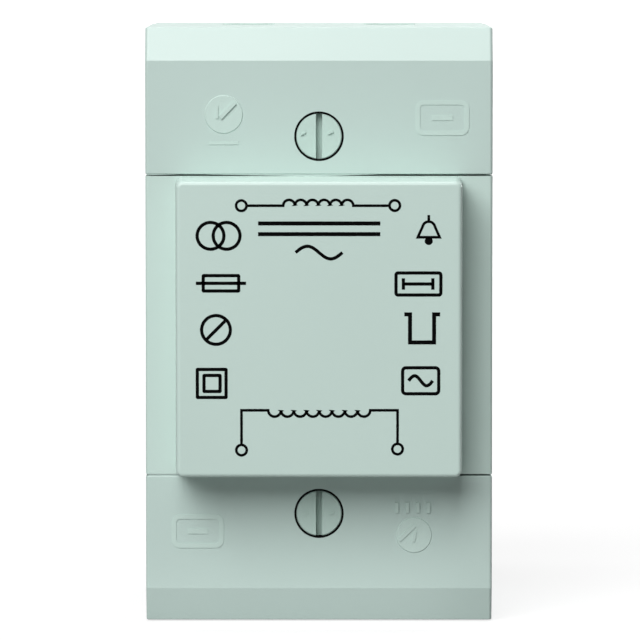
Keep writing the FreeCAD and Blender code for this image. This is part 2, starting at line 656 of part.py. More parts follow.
def make_cover_screw(label, way):
    """A moulded slotted screw: a tall flat head on a plain shank with a tapered tip."""
    body = new_body(label)
    revolve(body, "turned", [
        ("0", "shank_length"),
        ("0", "-(well_shelf - head_sunk)"),
        ("head_radius - fine_radius", "-(well_shelf - head_sunk)"),
        ("head_radius", "-(well_shelf - head_sunk - fine_radius)"),
        ("head_radius", "0"),
        ("shank_radius", "0"),
        ("shank_radius", "shank_length - shank_radius"),
        ("shank_radius / 2", "shank_length"),
    ])
    box(body, "driver_slot", ("-head_slot / 2", "head_slot / 2"),
        ("well_shelf - head_sunk - slot_depth", "well_shelf"),
        ("-head_radius - 1", "head_radius + 1"), cut=True)
    place(body, "0", "face_depth - well_shelf", f"{way} * {SCREW_Z}")
    return body


# Rail clip and spring

def make_clip():
    """The sliding clip: a guided bar with a ramped nose, a spring window and a pull slot."""
    body = new_body("rail_clip")
    front = "(channel_depth - fit_gap)"
    grip = f"(rail_height / 2 + rail_play - hook_reach)"
    ramp = f"({GRIP_DEPTH} - clip_back)"
    profile = outline(body, "side_profile", "YZ_Plane", [[
        ("-clip_back", f"-{CLIP_END}"),
        (f"-{front}", f"-{CLIP_END}"),
        (f"-{front}", f"-({RAIL_EDGE} + fit_gap)"),
        (f"-({GRIP_DEPTH})", f"-({RAIL_EDGE} + fit_gap)"),
        (f"-({GRIP_DEPTH})", f"-{grip}"),
        (f"-({GRIP_DEPTH} - {ramp} / 4)", f"-{grip}"),
        ("-clip_back", f"-({grip} + {ramp} * 3 / 4)"),
    ]])
    pad(body, "bar", profile, "clip_width", centred=True)
    box(body, "wings", ("-wing_width / 2", "wing_width / 2"),
        (f"{front} - wing_thickness", front), (f"-({CLIP_END} - wing_inset)", f"-({RAIL_EDGE} + wing_start)"))
    box(body, "spring_window", ("-window_width / 2", "window_width / 2"), ("0", "channel_depth + 1"),
        (f"-{WINDOW_END}", f"-{WINDOW_TOP}"), cut=True)
    post(body, "nub", "0", "(clip_back + channel_depth) / 2",
         (f"-({WINDOW_TOP} + nub_length)", f"-({WINDOW_TOP} - wall / 2)"), "nub_radius")
    box(body, "pull_slot", ("-clip_width / 4", "clip_width / 4"), ("0", f"{front} - wall / 2"),
        (f"-({CLIP_END} - wall / 2)", f"-({CLIP_END} - wall * 3 / 2)"), cut=True)
    return body


def make_spring():
    """A compression spring between the base's peg and the top of the clip's window."""
    coil = doc.addObject("Part::Helix", "spring_path")
    bind(coil, "Radius", "spring_radius")
    bind(coil, "Height", f"{PEG_TOP} - {WINDOW_TOP} - 2 * spring_wire - 2 * stop_gap")
    bind(coil, "Pitch", "spring_pitch")
    wire = doc.addObject("Part::Circle", "spring_section")
    bind(wire, "Radius", "spring_wire")
    wire.Placement = FreeCAD.Placement(FreeCAD.Vector(), FreeCAD.Rotation(FreeCAD.Vector(1, 0, 0), 90))
    bind(wire, ".Placement.Base.x", "spring_radius")
    spring = doc.addObject("Part::Sweep", "clip_spring")
    spring.Label = "clip_spring"
    spring.Sections = [wire]
    spring.Spine = (coil, ["Edge1"])
    spring.Solid = True
    spring.Frenet = True
    place(spring, "0", "(clip_back + channel_depth) / 2", f"-({PEG_TOP} - spring_wire - stop_gap)")
    doc.recompute()
    return spring


# Core and coil

def make_core_e():
    """The stack of E sheets: the lower yoke and three legs."""
    body = new_body("core_e_stack")
    outer = f"({CORE_X} - core_yoke)"
    yoke_top = f"-({CORE_Z} - core_yoke)"
    leg_top = f"{CORE_Z} - core_yoke"
    sketch = outline(body, "sheet_outline", "XZ_Plane", [[
        (f"-{CORE_X}", f"-{CORE_Z}"),
        (CORE_X, f"-{CORE_Z}"),
        (CORE_X, leg_top),
        (outer, leg_top),
        (outer, yoke_top),
        (LEG_X, yoke_top),
        (LEG_X, leg_top),
        (f"-{LEG_X}", leg_top),
        (f"-{LEG_X}", yoke_top),
        (f"-{outer}", yoke_top),
        (f"-{outer}", leg_top),
        (f"-{CORE_X}", leg_top),
    ]], CORE_BACK)
    pad(body, "stack", sketch, "core_stack")
    return body


def make_core_i():
    """The stack of I sheets that closes the core at the top."""
    body = new_body("core_i_stack")
    box(body, "stack", (f"-{CORE_X}", CORE_X), (CORE_BACK, CORE_FRONT), (f"{CORE_Z} - core_yoke", CORE_Z))
    return body


def coil_ring(body, name, across, rise, rows, cut=False):
    """A box round the coil's own centre, from its half sizes."""
    box(body, name, (f"-({across})", across), (f"{CORE_MIDDLE} - ({rise})", f"{CORE_MIDDLE} + {rise}"), rows, cut)


def make_former():
    """The two-section coil former: a square tube with three flanges, moulded in one."""
    body = new_body("coil_former")
    flange_x = f"{CORE_X} - core_yoke - flange_gap"
    flange_d = f"{COIL_D} + flange_lip"
    levels = (
        ("bottom", f"-{COIL_LOW}", f"-({COIL_LOW} - flange_wall)"),
        ("middle", "divider_height - flange_wall / 2", "divider_height + flange_wall / 2"),
        ("top", f"{COIL_HIGH} - flange_wall", COIL_HIGH),
    )
    coil_ring(body, "tube", TUBE_X, TUBE_D, (f"-{COIL_LOW}", COIL_HIGH))
    for name, low, high in levels:
        coil_ring(body, f"{name}_flange", flange_x, flange_d, (low, high))
    reach = body.Shape.BoundBox.XMax
    soften(body, "flange_corners", "flange_corner",
           lambda edge: runs_along(edge, 2) and near(abs(middle(edge).x), reach))
    coil_ring(body, "leg_passage", f"{LEG_X} + former_gap", "core_stack / 2 + former_gap",
              (f"-({COIL_LOW} + 1)", f"{COIL_HIGH} + 1"), cut=True)
    for side_name, sign in (("left", "-1"), ("right", "1")):
        for end_name, way, edge in (("bottom", "-1", COIL_LOW), ("top", "1", COIL_HIGH)):
            box(body, f"{end_name}_{side_name}_notch",
                ordered(sign, "terminal_x - lead_radius - fit_gap", "terminal_x + lead_radius + fit_gap"),
                (f"{CORE_MIDDLE} - ({flange_d}) - 1", f"{LEAD_DEPTH} + lead_radius + fit_gap"),
                ordered(way, f"{edge} - flange_wall - fit_gap", f"{edge} + 1"), cut=True)
    return body


def rounded_block(label, across, rise, rows, corner):
    """A block round the coil's centre with its upright corners rounded."""
    body = new_body(label)
    coil_ring(body, f"{label}_block", across, rise, rows)
    soften(body, f"{label}_corners", corner, lambda edge: runs_along(edge, 2))
    return body


def make_winding(label, step, rows):
    """One winding with rounded corners, filling its section of the former."""
    body = rounded_block(label, f"{COIL_X} - {step}", f"{COIL_D} - {step}", rows, "winding_corner")
    coil_ring(body, f"{label}_passage", TUBE_X, TUBE_D, (f"{rows[0]} - 1", f"{rows[1]} + 1"), cut=True)
    return body


def make_tape(label, step, rows):
    """A few turns of tape round a winding."""
    wrapped = rounded_block(f"{label}_outside", f"{COIL_X} - {step} + tape_thickness",
                            f"{COIL_D} - {step} + tape_thickness", rows, "winding_corner + tape_thickness")
    inside = rounded_block(f"{label}_inside", f"{COIL_X} - {step}", f"{COIL_D} - {step}",
                           (f"{rows[0]} - 1", f"{rows[1]} + 1"), "winding_corner")
    tape = doc.addObject("Part::Cut", label)
    tape.Label = label
    tape.Base = wrapped
    tape.Tool = inside
    doc.recompute()
    return tape


def make_cutout():
    """The thermal cut-out that lies on the mains winding, with a bent lead at each end."""
    top = f"({CORE_MIDDLE} + {COIL_D} + tape_thickness)"
    height = f"((divider_height - {COIL_LOW}) / 2)"
    barrel = doc.addObject("Part::Cylinder", "cutout_barrel")
    bind(barrel, "Radius", "cutout_radius")
    bind(barrel, "Height", "cutout_length")
    barrel.Placement = FreeCAD.Placement(FreeCAD.Vector(), FreeCAD.Rotation(FreeCAD.Vector(0, 1, 0), 90))
    place(barrel, "-cutout_length / 2", f"{top} + cutout_radius", height)
    pieces = [barrel]
    for name, sign, across in (("left", "-1", "-(cutout_length / 2 + cutout_tail)"),
                               ("right", "1", "cutout_length / 2")):
        tail = doc.addObject("Part::Cylinder", f"cutout_{name}_tail")
        bind(tail, "Radius", "cutout_wire")
        bind(tail, "Height", "cutout_tail")
        tail.Placement = FreeCAD.Placement(FreeCAD.Vector(), FreeCAD.Rotation(FreeCAD.Vector(0, 1, 0), 90))
        place(tail, across, f"{top} + cutout_radius", height)
        drop = doc.addObject("Part::Cylinder", f"cutout_{name}_drop")
        bind(drop, "Radius", "cutout_wire")
        bind(drop, "Height", "cutout_radius")
        drop.Placement = FreeCAD.Placement(FreeCAD.Vector(), FreeCAD.Rotation(FreeCAD.Vector(1, 0, 0), 90))
        place(drop, f"{sign} * (cutout_length / 2 + cutout_tail)", top, height)
        knee = doc.addObject("Part::Sphere", f"cutout_{name}_knee")
        bind(knee, "Radius", "cutout_wire")
        place(knee, f"{sign} * (cutout_length / 2 + cutout_tail)", f"{top} + cutout_radius", height)
        pieces += [tail, drop, knee]
    cutout = doc.addObject("Part::MultiFuse", "thermal_cutout")
    cutout.Label = "thermal_cutout"
    cutout.Shapes = pieces
    doc.recompute()
    return cutout


# Terminals and leads

def make_terminal(label, sign, way):
    """A brass pillar terminal: the wire hole, the clamping screw's thread and the lead's solder hole."""
    body = new_body(label)
    across = f"{sign} * terminal_x"
    rows = ordered(way, TERMINAL_START, TERMINAL_END)
    longer = ordered(way, f"{TERMINAL_START} - 1", f"{TERMINAL_END} + 1")
    box(body, "pillar", (f"{across} - terminal_width / 2", f"{across} + terminal_width / 2"),
        (DECK, TERMINAL_FRONT), rows)
    post(body, "wire_hole", across, WIRE_DEPTH, longer, "wire_radius", cut=True)
    peg(body, "thread", across, f"{way} * {CLAMP_Z}",
        (WIRE_DEPTH, f"{TERMINAL_FRONT} + 1"), "clamp_radius + thread_gap", cut=True)
    post(body, "solder_hole", across, SOLDER_DEPTH,
         ordered(way, f"{TERMINAL_START} - 1", f"{TERMINAL_START} + strand_length + thread_gap"),
         "strand_radius + thread_gap", cut=True)
    return body


def make_clamp_screw(label, sign, way):
    """A slotted clamping screw, wound open so that its tip just clears the wire hole."""
    body = new_body(label)
    tip = f"({WIRE_DEPTH} + wire_radius + thread_gap)"
    seat = f"({TERMINAL_FRONT} + clamp_lift)"
    revolve(body, "turned", [
        ("0", "0"),
        ("clamp_radius", "0"),
        ("clamp_radius", f"-({seat} - {tip})"),
        ("clamp_head", f"-({seat} - {tip})"),
        ("clamp_head", f"-({seat} - {tip} + clamp_head_height - fine_radius)"),
        ("clamp_head - fine_radius", f"-({seat} - {tip} + clamp_head_height)"),
        ("0", f"-({seat} - {tip} + clamp_head_height)"),
    ])
    box(body, "slot", ("-clamp_head - 1", "clamp_head + 1"),
        (f"{seat} - {tip} + clamp_head_height / 2", f"{seat} - {tip} + clamp_head_height + 1"),
        ("-clamp_slot / 2", "clamp_slot / 2"), cut=True)
    place(body, f"{sign} * terminal_x", tip, f"{way} * {CLAMP_Z}")
    return body


def rounded_path(points):
    """A wire through the points, each corner an arc as large as its two runs allow."""
    run_share = 0.45
    edges = []
    last = points[0]
    for before, corner, after in zip(points, points[1:], points[2:]):
        toward_start = (before - corner).normalize()
        toward_end = (after - corner).normalize()
        turn = math.pi - toward_start.getAngle(toward_end)
        setback = run_share * min((before - corner).Length, (after - corner).Length)
        radius = setback / math.tan(turn / 2)
        enter = corner + toward_start * setback
        leave = corner + toward_end * setback
        inward = (toward_start + toward_end).normalize()
        crown = corner + inward * (math.hypot(radius, setback) - radius)
        edges.append(Part.LineSegment(last, enter).toShape())
        edges.append(Part.Arc(enter, crown, leave).toShape())
        last = leave
    edges.append(Part.LineSegment(last, points[-1]).toShape())
    return Part.Wire(edges)


def make_lead(label, sign, way):
    """An insulated lead from the winding, behind the core and up to its terminal, with a bare end."""
    cover_start = size("case_height") / 2 - size("cover_length")
    core_end = cover_start - size("cover_gap") - size("wall") - size("core_end_gap")
    coil_end = core_end - size("core_yoke") - size("flange_wall") - (size("flange_gap") if way > 0 else 0)
    terminal = cover_start + size("terminal_inset")
    deck = size("base_depth") + size("step_height")
    route = [
        (coil_end, deck - size("lead_drop")),
        (core_end - size("lead_turn"), deck - size("lead_drop")),
        (terminal - size("lead_level"), deck + size("solder_rise")),
        (terminal, deck + size("solder_rise")),
    ]
    points = [FreeCAD.Vector(0, -depth, way * height) for height, depth in route]
    path = rounded_path(points)
    along = FreeCAD.Vector(0, 0, way)
    section = Part.Wire(Part.makeCircle(size("lead_radius"), points[0], along))
    sleeve = path.makePipeShell([section], True, False)
    strand = Part.makeCylinder(size("strand_radius"), size("strand_length"), points[-1], along)
    lead = doc.addObject("Part::Feature", label)
    lead.Label = label
    lead.Shape = sleeve.fuse(strand)
    bind(lead, ".Placement.Base.x", f"{sign} * terminal_x")
    return lead


# Housing screws

def make_housing_screws():
    """Four self-tapping screws through the housing's lugs, as one group of separate solids."""
    screws = []
    for side_name, sign in (("left", "-1"), ("right", "1")):
        for end_name, way in (("lower", "-1"), ("upper", "1")):
            screws.append(make_tapper(f"tapper_{end_name}_{side_name}", sign, way))
    group = doc.addObject("Part::Compound", "housing_screws")
    group.Label = "housing_screws"
    group.Links = screws
    doc.recompute()
    return group


def make_tapper(label, sign, way):
    """One self-tapping screw with a slotted pan head and a pointed end."""
    body = new_body(label)
    revolve(body, "turned", [
        ("0", "tapper_length"),
        ("tapper_radius", "tapper_length - 2 * tapper_radius"),
        ("tapper_radius", "0"),
        ("tapper_head", "0"),
        ("tapper_head", "-tapper_head_height / 2"),
        ("tapper_head - tapper_head_height / 2", "-tapper_head_height"),
        ("0", "-tapper_head_height"),
    ])
    box(body, "slot", ("-tapper_head - 1", "tapper_head + 1"),
        ("tapper_head_height / 2", "tapper_head_height + 1"), ("-clamp_slot / 2", "clamp_slot / 2"), cut=True)
    place(body, f"{sign} * {LUG_X}", f"{DECK} + lug_thickness", f"{way} * {LUG_Z}")
    return body


def make_all():
    """Every sub-part of the transformer, in the order that it is put together."""
    made = [make_base(), make_clip(), make_spring(), make_core_e(), make_core_i(), make_former()]
    primary_rows = (f"-({COIL_LOW} - flange_wall)", "divider_height - flange_wall / 2")
    secondary_rows = ("divider_height + flange_wall / 2", f"{COIL_HIGH} - flange_wall")
    made.append(make_winding("primary_winding", "0", primary_rows))
    made.append(make_tape("primary_tape", "0", primary_rows))
    made.append(make_winding("secondary_winding", "secondary_step", secondary_rows))
    made.append(make_tape("secondary_tape", "secondary_step", secondary_rows))
    made.append(make_cutout())
    for end_name, way in (("mains", "-1"), ("bell", "1")):
        for side_name, sign in (("left", "-1"), ("right", "1")):
            made.append(make_terminal(f"{end_name}_terminal_{side_name}", sign, way))
            made.append(make_clamp_screw(f"{end_name}_clamp_screw_{side_name}", sign, way))
            made.append(make_lead(f"{end_name}_lead_{side_name}", sign, int(way)))
    made.append(make_housing())
    made.append(make_housing_screws())
    made.append(make_cover("upper_terminal_cover", False))
    made.append(make_cover("lower_terminal_cover", True))
    made.append(make_cover_screw("upper_cover_screw", "1"))
    made.append(make_cover_screw("lower_cover_screw", "-1"))
    return made


def check(parts):
    """Stops if any object failed or any sub-part is not a valid closed solid."""
    for item in doc.Objects:
        if "Invalid" in item.State or "Error" in item.State:
            raise RuntimeError(f"{item.Name} failed: {item.State}")
    for part in parts:
        if part.Shape.isNull() or not part.Shape.isValid() or not part.Shape.Solids:
            raise RuntimeError(f"{part.Label} has no valid shape")


sheet = make_sheet()
parts = make_all()
doc.recompute()
check(parts)
os.makedirs(PARTS_FOLDER, exist_ok=True)
for part in parts:
    part.Shape.exportStep(os.path.join(PARTS_FOLDER, part.Label + ".step"))
    print(part.Label, len(part.Shape.Solids), round(part.Shape.Volume, 1))
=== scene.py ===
import bpy
import numpy as np
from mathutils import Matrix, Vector


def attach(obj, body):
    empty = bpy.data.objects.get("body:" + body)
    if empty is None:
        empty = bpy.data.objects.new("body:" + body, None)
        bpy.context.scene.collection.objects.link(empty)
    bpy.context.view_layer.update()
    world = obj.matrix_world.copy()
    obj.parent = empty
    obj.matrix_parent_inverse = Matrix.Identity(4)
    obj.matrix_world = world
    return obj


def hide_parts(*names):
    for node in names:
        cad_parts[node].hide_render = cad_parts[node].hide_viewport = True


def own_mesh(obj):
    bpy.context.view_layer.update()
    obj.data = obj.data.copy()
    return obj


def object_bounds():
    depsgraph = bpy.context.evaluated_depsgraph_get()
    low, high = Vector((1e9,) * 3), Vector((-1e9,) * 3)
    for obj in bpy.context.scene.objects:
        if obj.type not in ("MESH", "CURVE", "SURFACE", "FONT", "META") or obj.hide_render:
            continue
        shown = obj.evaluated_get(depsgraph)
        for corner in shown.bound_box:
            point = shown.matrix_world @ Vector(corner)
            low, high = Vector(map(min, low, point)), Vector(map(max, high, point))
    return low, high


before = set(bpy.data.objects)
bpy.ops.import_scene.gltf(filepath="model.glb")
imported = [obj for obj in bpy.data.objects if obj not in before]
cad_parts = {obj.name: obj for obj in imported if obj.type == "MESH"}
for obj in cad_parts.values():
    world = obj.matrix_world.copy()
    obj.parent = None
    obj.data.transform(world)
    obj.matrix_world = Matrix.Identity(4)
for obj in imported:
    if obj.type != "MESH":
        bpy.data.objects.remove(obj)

cad_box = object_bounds()
MM = 0.001


# Rear base: the tray with the rail recess, the hooks, the decks and the pillars.
# It is injection moulded in the same light grey-green PPE blend as the front, from a spark-eroded
# mould. That gives a satin skin with a fine even grain and faint clouds where the melt flowed.

CLOUD_SIZE = 30 * MM
GRAIN_SIZE = 0.3 * MM
MOULD_GRAIN = 0.006 * MM
PLASTIC_GLOSS_SPREAD = 0.05
TONE_A, TONE_B, TONE_OUT = 6, 7, 2  # a Mix node's colour sockets, whose names its other types share


def linear(code):
    """An sRGB hex colour as linear RGBA: each channel goes back through the display's curve."""
    channels = np.array([int(code[start:start + 2], 16) for start in (1, 3, 5)]) / 255
    curved = np.where(channels <= 0.04045, channels / 12.92, ((channels + 0.055) / 1.055) ** 2.4)
    return (*curved.tolist(), 1.0)


def add_node(tree, kind, settings=None, links=None):
    """Adds one node, sets its properties and inputs by name or number, and links the sockets that
    feed it."""
    node = tree.nodes.new(kind)
    for name, value in (settings or {}).items():
        if isinstance(name, int) or name in node.inputs:
            node.inputs[name].default_value = value
        else:
            setattr(node, name, value)
    for name, source in (links or {}).items():
        tree.links.new(source, node.inputs[name])
    return node


def new_material(name):
    """An empty node material: the material, its tree, its shader and its Object coordinates."""
    material = bpy.data.materials.new(name)
    material.use_nodes = True
    tree = material.node_tree
    shader = tree.nodes["Principled BSDF"]
    place = add_node(tree, "ShaderNodeTexCoord")
    return material, tree, shader, place.outputs["Object"]


def moulded_plastic(name, light, dark, roughness, grain_height=MOULD_GRAIN):
    """Moulded plastic: wide flow clouds mix two tones, and a fine grain sets gloss and relief."""
    material, tree, shader, place = new_material(name)
    clouds = add_node(tree, "ShaderNodeTexNoise", {"Scale": 1 / CLOUD_SIZE, "Detail": 2.0},
                      {"Vector": place})
    grain = add_node(tree, "ShaderNodeTexNoise", {"Scale": 1 / GRAIN_SIZE, "Detail": 2.0},
                     {"Vector": place})
    tone = add_node(tree, "ShaderNodeMix",
                    {"data_type": "RGBA", TONE_A: linear(light), TONE_B: linear(dark)},
                    {0: clouds.outputs[0]})
    gloss = add_node(tree, "ShaderNodeMapRange",
                     {"To Min": roughness - PLASTIC_GLOSS_SPREAD,
                      "To Max": roughness + PLASTIC_GLOSS_SPREAD},
                     {"Value": grain.outputs[0]})
    relief = add_node(tree, "ShaderNodeBump", {"Strength": 1.0, "Distance": grain_height},
                      {"Height": grain.outputs[0]})
    tree.links.new(tone.outputs[TONE_OUT], shader.inputs["Base Color"])
    tree.links.new(gloss.outputs[0], shader.inputs["Roughness"])
    tree.links.new(relief.outputs[0], shader.inputs["Normal"])
    return material


def finish(material, *nodes):
    """Puts one material in every slot of some CAD nodes."""
    for node in nodes:
        for material_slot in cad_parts[node].material_slots:
            material_slot.material = material


base_plastic = moulded_plastic("moulded_ppe_base", "#BCD0C9", "#B8CCC5", roughness=0.42)
finish(base_plastic, "rear_base")


# Rail clip: the sprung slide that holds the rail from below.
# It is moulded in glass-filled black nylon, duller and rougher than the case because the glass
# shows at the skin.

NYLON_GRAIN = 0.012 * MM

clip_nylon = moulded_plastic("glass_filled_nylon_clip", "#2B2D2E", "#232526", roughness=0.52,
                             grain_height=NYLON_GRAIN)
finish(clip_nylon, "rail_clip")


# Clip spring: a compression spring coiled from bright drawn steel wire, closed at both ends.
# Drawing leaves fine marks along the wire, too fine to show, so they are drawn 0.1 mm apart.
# This mesh takes the place of the CAD spring.

METAL_GLOSS_SPREAD = 0.06
MARK_DEPTH = 0.004 * MM
DRAWING_MARKS = 0.1 * MM
# The sizes of a new mesh stay in mm until new_piece turns its points to metres.
SPRING_RADIUS = 1.45
WIRE_RADIUS = 0.25
SPRING_TURNS = 7
STEPS_PER_TURN = 36
SPRING_DEPTH = -2.75
SPRING_LOW = -35.3
SPRING_HIGH = -25.1


def metal(name, light, dark, roughness, mark_size, stretch=(1.0, 1.0, 1.0)):
    """Bare metal: noise of the marks' size, stretched where its scale along an axis is below 1,
    mixes two tones and varies the gloss."""
    material, tree, shader, place = new_material(name)
    stretched = add_node(tree, "ShaderNodeMapping", {"Scale": stretch}, {"Vector": place})
    marks = add_node(tree, "ShaderNodeTexNoise", {"Scale": 1 / mark_size, "Detail": 3.0},
                     {"Vector": stretched.outputs[0]})
    tone = add_node(tree, "ShaderNodeMix",
                    {"data_type": "RGBA", TONE_A: linear(light), TONE_B: linear(dark)},
                    {0: marks.outputs[0]})
    gloss = add_node(tree, "ShaderNodeMapRange",
                     {"To Min": roughness - METAL_GLOSS_SPREAD,
                      "To Max": roughness + METAL_GLOSS_SPREAD},
                     {"Value": marks.outputs[0]})
    relief = add_node(tree, "ShaderNodeBump", {"Strength": 0.5, "Distance": MARK_DEPTH},
                      {"Height": marks.outputs[0]})
    shader.inputs["Metallic"].default_value = 1.0
    tree.links.new(tone.outputs[TONE_OUT], shader.inputs["Base Color"])
    tree.links.new(gloss.outputs[0], shader.inputs["Roughness"])
    tree.links.new(relief.outputs[0], shader.inputs["Normal"])
    return material


def new_piece(name, shapes, material, body="housing", smooth=False):
    """One mesh object from several shapes, each with its points in mm and its faces. It rides a
    body."""
    offsets = np.cumsum([0] + [len(points) for points, faces in shapes[:-1]])
    points = np.vstack([points for points, faces in shapes]) * MM
    faces = [face for (own, own_faces), offset in zip(shapes, offsets)
             for face in (own_faces + offset).tolist()]
    mesh = bpy.data.meshes.new(name)
    mesh.from_pydata(points.tolist(), [], faces)
    mesh.materials.append(material)
    if smooth:
        mesh.shade_smooth()
    piece = bpy.data.objects.new(name, mesh)
    bpy.context.scene.collection.objects.link(piece)
    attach(piece, body)
    return piece


def close_ring(first, count):
    """Strips of quads that close a ring of points flat: each joins two neighbours on one side to
    the two points of the same rank, counted backwards, on the other."""
    strip = np.arange(count // 2 - 1)
    return first + np.stack([strip, strip + 1, count - 2 - strip, count - 1 - strip], axis=1)


def coiled_wire(radius, wire, low, high, turns, sides=12):
    """A compression spring about Z, in mm: the height rises by one wire's thickness in the first
    and the last turn, which are closed, and evenly between them. Round the wire, each point is the
    radial direction times the cosine plus the direction across it times the sine."""
    turn = np.linspace(0, turns, STEPS_PER_TURN * turns + 1)
    height = np.interp(turn, (0, 1, turns - 1, turns),
                       (low + wire, low + 3 * wire, high - 3 * wire, high - wire))
    angle = 2 * np.pi * turn
    radial = np.column_stack([np.cos(angle), np.sin(angle), np.zeros(len(angle))])
    centre = radial * radius + np.column_stack([np.zeros((len(angle), 2)), height])
    along = np.gradient(centre, axis=0)
    along /= np.linalg.norm(along, axis=1, keepdims=True)
    across = np.cross(along, radial)
    round_angle = np.linspace(0, 2 * np.pi, sides, endpoint=False)[None, :, None]
    points = centre[:, None] + wire * (radial[:, None] * np.cos(round_angle)
                                       + across[:, None] * np.sin(round_angle))
    ring = np.arange(len(angle) - 1)[:, None] * sides
    side = np.arange(sides)
    beside = (side + 1) % sides
    tube = np.stack([ring + side, ring + beside, ring + beside + sides, ring + side + sides],
                    axis=2).reshape(-1, 4)
    ends = [close_ring(0, sides)[:, ::-1], close_ring((len(angle) - 1) * sides, sides)]
    return points.reshape(-1, 3), np.vstack([tube, *ends])


spring_steel = metal("drawn_spring_steel", "#B9BABC", "#9C9EA1", roughness=0.28,
                     mark_size=DRAWING_MARKS)
coil_points, coil_faces = coiled_wire(SPRING_RADIUS, WIRE_RADIUS, SPRING_LOW, SPRING_HIGH,
                                      SPRING_TURNS)
spring = new_piece("coiled_clip_spring", [(coil_points + (0, SPRING_DEPTH, 0), coil_faces)],
                   spring_steel, smooth=True)
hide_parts("clip_spring")
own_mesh(spring)


# Core: two stacks of silicon steel sheets, E sheets below and I sheets above.
# Each sheet is stamped 0.5 mm thick with a grey oxide skin, so the stack shows as fine lines
# across the depth.

SHEET = 0.5 * MM
SOIL_SIZE = 4 * MM
WAVE_FACTOR = 20  # a Wave texture multiplies its scale by this


def banded(name, light, dark, roughness, pitch, axis, groove):
    """Stacked or wound metal: a sine of the layers' pitch along one axis sets tone and relief, and
    noise soils it."""
    material, tree, shader, place = new_material(name)
    bands = add_node(tree, "ShaderNodeTexWave",
                     {"wave_type": "BANDS", "bands_direction": axis, "wave_profile": "SIN",
                      "Scale": 2 * np.pi / (WAVE_FACTOR * pitch), "Distortion": 0.0},
                     {"Vector": place})
    soil = add_node(tree, "ShaderNodeTexNoise", {"Scale": 1 / SOIL_SIZE, "Detail": 3.0},
                    {"Vector": place})
    both = add_node(tree, "ShaderNodeMath", {"operation": "MULTIPLY"},
                    {0: bands.outputs["Fac"], 1: soil.outputs[0]})
    tone = add_node(tree, "ShaderNodeMix",
                    {"data_type": "RGBA", TONE_A: linear(dark), TONE_B: linear(light)},
                    {0: both.outputs[0]})
    relief = add_node(tree, "ShaderNodeBump", {"Strength": 0.8, "Distance": groove},
                      {"Height": bands.outputs["Fac"]})
    shader.inputs["Metallic"].default_value = 1.0
    shader.inputs["Roughness"].default_value = roughness
    tree.links.new(tone.outputs[TONE_OUT], shader.inputs["Base Color"])
    tree.links.new(relief.outputs[0], shader.inputs["Normal"])
    return material


core_steel = banded("stacked_silicon_steel_sheets", "#8E9092", "#55575A", roughness=0.45,
                    pitch=SHEET, axis="Y", groove=0.05 * MM)
finish(core_steel, "core_e_stack", "core_i_stack")


# Coil former: the square tube with three flanges that carries both windings.
# It is moulded in black glass-filled nylon, as the rail clip is.

former_nylon = moulded_plastic("glass_filled_nylon_former", "#303132", "#262728", roughness=0.55,
                               grain_height=NYLON_GRAIN)
finish(former_nylon, "coil_former")


# Windings: enamelled copper wire in layers, thin for the mains side and thicker for the bell side.
# The mains wire is about 0.15 mm thick and is drawn 0.4 mm, so that its turns can be told apart.

mains_copper = banded("enamelled_copper_thin", "#C4783F", "#6E3617", roughness=0.35,
                      pitch=0.4 * MM, axis="Z", groove=0.08 * MM)
bell_copper = banded("enamelled_copper_thick", "#CB8048", "#7A3D1B", roughness=0.33,
                     pitch=0.7 * MM, axis="Z", groove=0.15 * MM)
finish(mains_copper, "primary_winding")
finish(bell_copper, "secondary_winding")


# Winding tape: a few turns of yellow polyester film round each winding, stuck down.
# Film is smooth and shiny, and creases a little as it is wrapped.

polyester = moulded_plastic("yellow_polyester_film", "#E3B93A", "#D9AC2C", roughness=0.25,
                            grain_height=0.02 * MM)
finish(polyester, "primary_tape", "secondary_tape")


# Thermal cut-out: a small drawn can on the mains winding, with a tinned lead at each end.
# Tin plate is bright and slightly milky.

tinned = metal("tinned_can", "#C9CACB", "#B0B2B4", roughness=0.30, mark_size=0.5 * MM)
finish(tinned, "thermal_cutout")


# Terminals: four blocks cut from extruded brass bar, drilled for the wire and tapped for the
# clamping screw. Extrusion draws fine lines along the bar, which lies along Z.

ALONG_BAR = (1.0, 1.0, 0.08)
ENDS_AND_SIDES = [(end, side) for end in ("mains", "bell") for side in ("left", "right")]

terminal_brass = metal("extruded_brass_terminal", "#D9B45E", "#BE9440", roughness=0.30,
                       mark_size=0.2 * MM, stretch=ALONG_BAR)
finish(terminal_brass, *(f"{end}_terminal_{side}" for end, side in ENDS_AND_SIDES))


# Clamping screws and the four screws that hold the housing: headed from steel wire, zinc plated.
# Zinc with clear chromate is a cool grey with a soft uneven sheen.

zinc = metal("zinc_plated_steel", "#C6CBD0", "#A6ACB3", roughness=0.32, mark_size=0.4 * MM)
finish(zinc, "housing_screws", *(f"{end}_clamp_screw_{side}" for end, side in ENDS_AND_SIDES))


# Leads: flexible wire from each winding to its terminals, blue for the mains, beige for the bell.
# PVC insulation is extruded, so it is smooth with a slight sheen.

PVC_GRAIN = 0.003 * MM

mains_pvc = moulded_plastic("pvc_insulation_blue", "#2F5F9E", "#2A568F", roughness=0.38,
                            grain_height=PVC_GRAIN)
bell_pvc = moulded_plastic("pvc_insulation_beige", "#D8C9A8", "#CDBD9B", roughness=0.38,
                           grain_height=PVC_GRAIN)
finish(mains_pvc, "mains_lead_left", "mains_lead_right")
finish(bell_pvc, "bell_lead_left", "bell_lead_right")


# Main housing: the middle section with the raised nose, moulded like the base and held by the
# four screws. Its front faces the user, so the mould there is finished a little finer.

housing_plastic = moulded_plastic("moulded_ppe_housing", "#BFD3CC", "#BBCFC8", roughness=0.40)
finish(housing_plastic, "main_housing")


